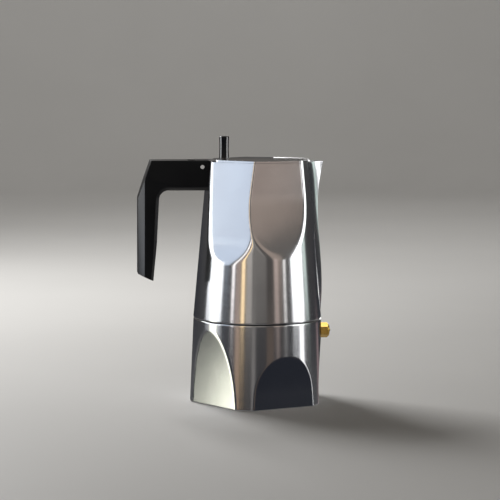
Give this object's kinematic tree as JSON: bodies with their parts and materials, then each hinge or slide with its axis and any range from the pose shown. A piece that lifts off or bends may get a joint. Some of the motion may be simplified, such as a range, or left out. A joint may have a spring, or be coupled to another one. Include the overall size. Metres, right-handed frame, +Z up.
{
  "type": "moka pot",
  "caption": "Stove-top coffee pot in cast aluminium with scooped facets: boiler with safety valve, funnel, gasket and filter plate, screw-on collector with spout, hinged lid and black handle.",
  "frame": {"origin": "centre of the boiler's flat foot, on the surface that the pot stands on", "axes": "+Z up along the pot's axis, +X toward the spout and the safety valve, -X toward the handle"},
  "size_m": [0.144, 0.099, 0.1964],
  "materials": {
    "cast_aluminium": "satin, brushed upright",
    "lid_aluminium": "satin",
    "sheet_aluminium": "matte sheet",
    "seal_rubber": "matte silicone",
    "valve_brass": "turned",
    "spring_steel": "bright wire",
    "bright_steel": "turned",
    "handle_black": "fine matte moulding",
    "knob_black": "gloss moulding"
  },
  "bodies": {
    "boiler": {"boiler": "cast_aluminium", "valve_body": "valve_brass", "valve_seal": "seal_rubber", "valve_retainer": "valve_brass", "valve_spring": "spring_steel"},
    "plunger": {"valve_plunger": "valve_brass"},
    "funnel": {"funnel": "sheet_aluminium", "funnel_screen": "sheet_aluminium"},
    "seal_pack": {"gasket": "seal_rubber", "filter_plate": "sheet_aluminium"},
    "collector": {"collector": "cast_aluminium", "handle": "handle_black", "handle_screw": "bright_steel", "hinge_pin": "bright_steel"},
    "lid": {"lid": "lid_aluminium", "lid_knob": "knob_black", "knob_screw": "bright_steel"}
  },
  "joints": [
    {"name": "funnel_lift", "type": "slide", "parent": "boiler", "child": "funnel", "axis": [0, 0, 1], "range_m": [0, 0.07]},
    {"name": "seal_lift", "type": "slide", "parent": "funnel", "child": "seal_pack", "axis": [0, 0, 1], "range_m": [0, 0.0081]},
    {"name": "collector_turn", "type": "hinge", "parent": "seal_pack", "child": "collector", "pos_m": [0, 0, 0.0626], "axis": [0, 0, 1], "range_deg": [0, 720]},
    {"name": "lid_hinge", "type": "hinge", "parent": "collector", "child": "lid", "pos_m": [-0.0422, 0, 0.1744], "axis": [0, -1, 0], "range_deg": [0, 105]},
    {"name": "valve_lift", "type": "slide", "parent": "boiler", "child": "plunger", "axis": [1, 0, 0], "range_m": [0, 0.001], "stiffness_N_per_m": 3000, "springref_m": -0.002, "deforming": ["valve_spring"]}
  ],
  "couplings": [
    {"joint": "seal_lift", "follows": "collector_turn", "m_per_rad": 0.00063662}
  ]
}
